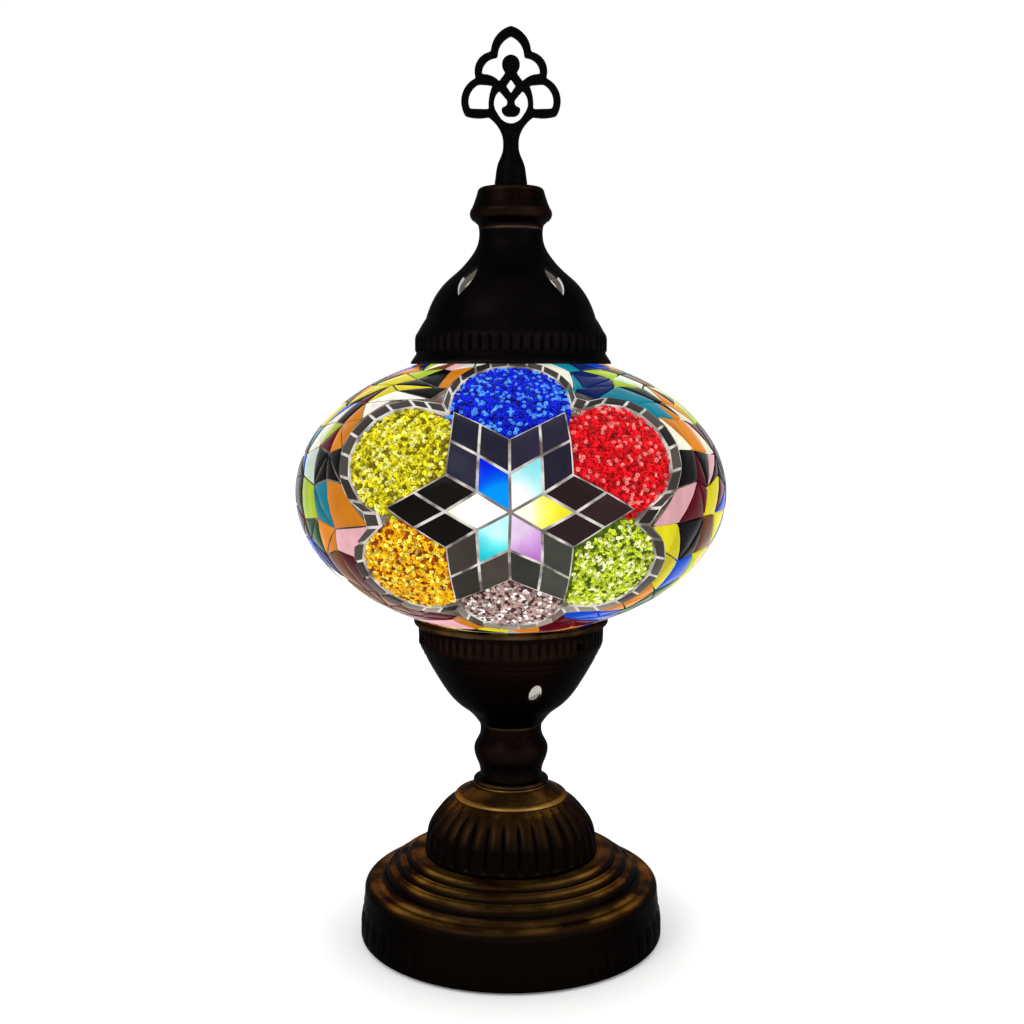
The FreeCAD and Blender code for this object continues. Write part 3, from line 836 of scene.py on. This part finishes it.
def bead_glass(name):
    """Seed beads: glossy, with the light through them from behind painted on as glow, in sparkling clouds."""
    finish, nodes, links, shader = new_finish(name, 0.22, specular=0.12)
    tint = nodes.new("ShaderNodeAttribute")
    tint.attribute_name = "tint"
    sparkle = spread(nodes, links, noise(nodes, links, 620, 2), 0.36, 0.66, 0.30, 1.35)
    scale = nodes.new("ShaderNodeVectorMath")
    scale.operation = "SCALE"
    links.new(tint.outputs["Color"], scale.inputs[0])
    links.new(sparkle, scale.inputs["Scale"])
    links.new(scale.outputs[0], shader.inputs["Emission Color"])
    shader.inputs["Emission Strength"].default_value = 1.0
    links.new(blend(nodes, links, 0.8, tint.outputs["Color"], (0.0, 0.0, 0.0)), shader.inputs["Base Color"])
    return finish


def grout_finish(name, light, dark, glow):
    """White tile grout, sandy, with a painted glow as if lit unevenly by the glass beside it."""
    finish, nodes, links, shader = new_finish(name, 0.75, specular=0.2)
    patches = spread(nodes, links, noise(nodes, links, 110, 4), 0.40, 0.60)
    # painted shade: the grout's painted glow darkens towards the medallion's middle
    dimmed_middle = spread(nodes, links, from_middle(nodes, links), 7 * MM, 15 * MM, 0.12, 1.0)
    colour = blend(nodes, links, work(nodes, links, "MULTIPLY", patches, dimmed_middle), dark, light)
    links.new(colour, shader.inputs["Emission Color"])
    shader.inputs["Emission Strength"].default_value = glow
    links.new(blend(nodes, links, 0.75, colour, (0.0, 0.0, 0.0)), shader.inputs["Base Color"])
    bump(nodes, links, shader, noise(nodes, links, 2200, 3), 0.5, 0.15)
    return finish


def plain_finish(name, colour, roughness, metallic=0.0, grain=700, vary=0.25, relief=0.05,
                 emission=0.0, alpha=1.0):
    """A material of one colour with its own grain: lighter and darker in small clouds."""
    finish, nodes, links, shader = new_finish(name, roughness, metallic)
    clouds = spread(nodes, links, noise(nodes, links, grain, 4), 0.3, 0.7)
    lighter = tuple(min(1.0, c * (1 + vary)) for c in colour)
    darker = tuple(c * (1 - vary) for c in colour)
    mixed = blend(nodes, links, clouds, darker, lighter)
    links.new(mixed, shader.inputs["Base Color"])
    links.new(spread(nodes, links, clouds, 0, 1, roughness * 0.85, min(1.0, roughness * 1.15)),
              shader.inputs["Roughness"])
    bump(nodes, links, shader, noise(nodes, links, grain * 2, 3), 0.4, relief)
    if emission:
        links.new(mixed, shader.inputs["Emission Color"])
        shader.inputs["Emission Strength"].default_value = emission
    if alpha < 1:
        shader.inputs["Transmission Weight"].default_value = 1.0
        shader.inputs["Alpha"].default_value = alpha
    return finish


DARK_BRASS = antique_brass("patinated_brass", (0.0028, 0.0016, 0.0014), (0.016, 0.008, 0.005),
                           (0.13, 0.075, 0.032), 0.04)
# painted lamplight: this brass carries a large share of gold painted on faces that look up, besides rubbed
# ridges
FOOT_BRASS = antique_brass("rubbed_and_toplit_brass", (0.0022, 0.0013, 0.0010), (0.034, 0.016, 0.0048),
                           (0.33, 0.175, 0.042), 0.85)
DOME_BRASS = antique_brass("lacquered_brass", (0.0018, 0.0014, 0.0016), (0.007, 0.005, 0.005),
                           (0.085, 0.065, 0.06), 0.0, 0.42)
TILE_GLASS = lit_glass("mosaic_tile_glass")
BEAD_GLASS = bead_glass("seed_bead_glass")
GROUT = grout_finish("grout", (0.80, 0.76, 0.70), (0.15, 0.12, 0.11), 0.72)
DARK_GROUT = grout_finish("band_grout", (0.26, 0.21, 0.16), (0.022, 0.018, 0.016), 0.6)
# painted light: the inner walls glow pale, as metal lit by the bulb
LIT_INSIDE = plain_finish("lit_inner_wall", (0.95, 0.92, 0.86), 0.5, 0.0, 300, 0.08, 0.02, 1.5)
SLOT_FINISHES = {
    "antique_brass": DARK_BRASS,
    "steel": plain_finish("zinc_plated_steel", (0.50, 0.50, 0.51), 0.32, 1.0, 500, 0.15, 0.02),
    "contact_brass": plain_finish("nickel_plated_brass", (0.72, 0.64, 0.46), 0.24, 1.0, 400, 0.12, 0.02),
    "cast_iron": plain_finish("cast_iron", (0.09, 0.09, 0.092), 0.62, 0.9, 900, 0.3, 0.2),
    "felt": plain_finish("green_felt", (0.022, 0.085, 0.042), 0.95, 0.0, 2600, 0.45, 0.4),
    "cover_board": plain_finish("fibre_board", (0.055, 0.045, 0.036), 0.85, 0.0, 1400, 0.4, 0.15),
    "rubber": plain_finish("black_rubber", (0.014, 0.014, 0.015), 0.72, 0.0, 1200, 0.3, 0.08),
    # painted light: the holder glows a little, as if lit by the bulb beside it
    "holder_plastic": plain_finish("holder_plastic", (0.84, 0.82, 0.78), 0.42, 0.0, 600, 0.06, 0.03, 0.4),
    "bulb_plastic": plain_finish("bulb_plastic", (0.78, 0.77, 0.74), 0.38, 0.0, 500, 0.05, 0.02),
    "opal_glass": plain_finish("lit_opal_glass", (0.92, 0.84, 0.70), 0.45, 0.0, 80, 0.04, 0.01, 0.75),
    "clear_glass": plain_finish("clear_globe_glass", (0.86, 0.90, 0.89), 0.06, 0.0, 90, 0.03, 0.03,
                                alpha=0.35),
    "mosaic_glass": GROUT,
}

for part in frame["record"]["subparts"]:
    mesh = NODES[part["node"]].data
    mesh.materials.clear()
    outside = part["node"].startswith("globe_screw")
    mesh.materials.append(DARK_BRASS if outside else SLOT_FINISHES[part["material_slot"]])

# ---- turned and cast metal ----
foot = lathe("base_foot", 480, 2.2)
press(foot, 1.6, 12.4, lambda z: 58.6, leaves(48, 0.35))
press(foot, 16.9, 18.3, lambda z: 57.5, groove(0.35))
foot = piece("foot_shell", foot, "base", FOOT_BRASS)


def inside_bell(z):
    """A radius that stays just inside the bell's outer wall."""
    return 32.6 if z < 40 else 35.0 - 12.6 * ((z - 33) / 22.5) ** 1.75


bell = lathe("bell", 360, 1.2)
press(bell, 33.6, 55.3, inside_bell, gadroons(30, 1.5))
bell = piece("gadrooned_bell", bell, "base", FOOT_BRASS)

stem = piece("baluster_stem", lathe("stem", 96, 1.0), "base", DARK_BRASS)

cup = lathe("cup", 512, 1.4)
press(cup, 118.1, 124.7, lambda z: 35.8, flutes(64, 0.5))
press(cup, 112.4, 113.4, lambda z: 32.6, groove(0.3))
press(cup, 114.2, 115.2, lambda z: 33.4, groove(0.3))
cup = piece("fluted_cup", cup, "base", DARK_BRASS)
pierce(cup, [vent_cutter(*CUP_VENT, angle, False) for angle in CUP_VENTS])
light_inside(cup, 90, 125)

dome = lathe("cap_dome", 480, 1.4)
press(dome, 230.8, 236.4, lambda z: 36.3, flutes(60, 0.8))
dome = piece("vented_dome", dome, "cap", DOME_BRASS)
pierce(dome, [vent_cutter(*CAP_VENT, angle, True) for angle in CAP_VENTS])
light_inside(dome, 229, 272)

collar = piece("beaded_collar", lathe("cap_collar", 128, 0.9), "cap", DARK_BRASS)

FINIAL_NECK = 312.0  # the openwork starts above this height
FINIAL_SWELL = 0.3  # its strands grow by this much all round
FINIAL_FADE = 6.0  # the growth comes in over this height
FINIAL_VOXEL = 0.34


def cast_finial():
    """The openwork finial with its edges softened, as it comes from the mould. It keeps the
    height of its CAD solid."""
    bm = bmesh.new()
    bm.from_mesh(NODES["finial"].data)
    bmesh.ops.remove_doubles(bm, verts=bm.verts, dist=0.001 * MM)
    obj = piece("cast_finial", bm, "finial", DOME_BRASS)
    remesh = obj.modifiers.new("skin", "REMESH")
    remesh.mode, remesh.voxel_size = "VOXEL", FINIAL_VOXEL * MM
    applied(obj)
    bm = bmesh.new()
    bm.from_mesh(obj.data)
    for _ in range(10):
        bmesh.ops.smooth_vert(bm, verts=bm.verts, factor=0.5, use_axis_x=True, use_axis_y=True,
                              use_axis_z=True)
    bm.normal_update()
    for v in bm.verts:
        share = min(1.0, max(0.0, v.co.z / MM - FINIAL_NECK) / FINIAL_FADE)
        v.co += v.normal * FINIAL_SWELL * MM * share
    neck = FINIAL_NECK * MM
    tall = max(v.co.z for v in bm.verts)
    fit = min(1.0, (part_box("finial")[1].z - neck) / (tall - neck))
    for v in bm.verts:
        if v.co.z > neck:
            v.co.z = neck + (v.co.z - neck) * fit
    for face in bm.faces:
        face.smooth = True
    bm.to_mesh(obj.data)
    bm.free()
    obj.data.materials.clear()
    obj.data.materials.append(DOME_BRASS)
    return obj


finial = cast_finial()

# each piece, the CAD node it stands for, how sharp an edge has to be to shine, and the heights
# between which that rubbing, with its painted highlight and lamplight, comes in
for obj, node, sharp, above in (
        (foot, "base_foot", 0.9, (14, 19)), (bell, "bell", 0.14, (42, 52)), (stem, "stem", 0.4, (50, 62)),
        (cup, "cup", 0.22, (85, 100)), (dome, "cap_dome", 0.22, (220, 230)),
        (collar, "cap_collar", 0.3, (270, 276)), (finial, "finial", 1.2, (290, 295))):
    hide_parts(node)
    mark_wear_and_painted_light(obj, sharp, above)

# ---- mosaic ----
def lay_tiles(kind, side, cells, turn, gap, cuts, grout):
    """Makes two pieces on the globe from painted cells: the tiles and the grout around them."""
    pieces = []
    joints = cells.copy()
    cut_tiles(cells, gap, cuts)
    bed(joints)
    for name, bm, finish in ((f"{kind}_tiles_{side}", cells, TILE_GLASS),
                             (f"{kind}_grout_{side}", joints, grout)):
        wrap(bm, turn)
        pieces.append(piece(name, bm, "globe", finish))
    return pieces


def stand_for(pieces, node):
    for obj in pieces:
        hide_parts(node)


BEAD = bead()
for side, turn in (("front", FRONT), ("back", REAR)):
    star = star_cells()
    paint(star, star_colour)
    pieces = lay_tiles("star", side, star, turn, STAR_GAP, CELL_CUTS, GROUT)
    ring = ring_cells()
    paint(ring, ring_colour)
    pieces += lay_tiles("ring", side, ring, turn, RING_GAP, CELL_CUTS, GROUT)
    for k, petal in enumerate(PETALS):
        beads = bead_field(petal, turn, random.Random(30 + k))
        pieces.append(finished(f"beads_{petal}_{side}", beads, "globe", BEAD_GLASS, crease=180))
        pieces.append(piece(f"bead_bed_{petal}_{side}", petal_bed(petal, turn), "globe", BEAD_GLASS))
    stand_for(pieces, f"medallion_{side}")

for side, turn in SIDE_TURN.items():
    band = band_cells(side)
    paint(band, band_colour(side))
    settle_band(band, side)
    stand_for(lay_tiles("band", side, band, turn, BAND_GAP, BAND_CUTS, DARK_GROUT), f"side_band_{side}")

# ---- studio ----
def floor():
    bm = bmesh.new()
    bmesh.ops.create_circle(bm, cap_ends=True, segments=96, radius=6)
    bmesh.ops.translate(bm, vec=(0, 0, -0.0002), verts=bm.verts)
    mesh = bpy.data.meshes.new("floor")
    bm.to_mesh(mesh)
    bm.free()
    obj = bpy.data.objects.new("floor", mesh)
    bpy.context.scene.collection.objects.link(obj)
    mesh.materials.append(plain_finish("pale_floor", (0.96, 0.96, 0.96), 0.9, 0.0, 3, 0.01, 0.01, 0.07))


def soft_box(name, place, aim, size, power):
    light = bpy.data.lights.new(name, "AREA")
    light.shape, light.size, light.energy = "DISK", size, power
    obj = bpy.data.objects.new(name, light)
    obj.location = place
    obj.rotation_euler = (Vector(aim) - Vector(place)).to_track_quat("-Z", "Y").to_euler()
    bpy.context.scene.collection.objects.link(obj)


floor()
MIDDLE = (0, 0, 0.18)
soft_box("key", (-1.1, -1.2, 1.5), MIDDLE, 1.0, 9)
soft_box("fill", (1.4, -1.0, 0.9), MIDDLE, 1.2, 4)
soft_box("top", (0.0, 0.3, 1.9), MIDDLE, 1.4, 6)
world = bpy.data.worlds.new("studio")
world.use_nodes = True
world.node_tree.nodes["Background"].inputs["Color"].default_value = (1, 1, 1, 1)
world.node_tree.nodes["Background"].inputs["Strength"].default_value = 1.0
bpy.context.scene.world = world
bpy.context.scene.view_settings.view_transform = "Standard"

CAMERA_PLACE = (0.0004, -0.524, 0.2245)
CAMERA_DOWN = 6.0885  # degrees below the level
camera = bpy.data.cameras.new("camera")
camera.lens, camera.sensor_width = 47.46, 36
camera.clip_start = 0.01
view = bpy.data.objects.new("camera", camera)
view.location = CAMERA_PLACE
view.rotation_euler = (math.radians(90 - CAMERA_DOWN), 0, 0)
bpy.context.scene.collection.objects.link(view)
bpy.context.scene.camera = view
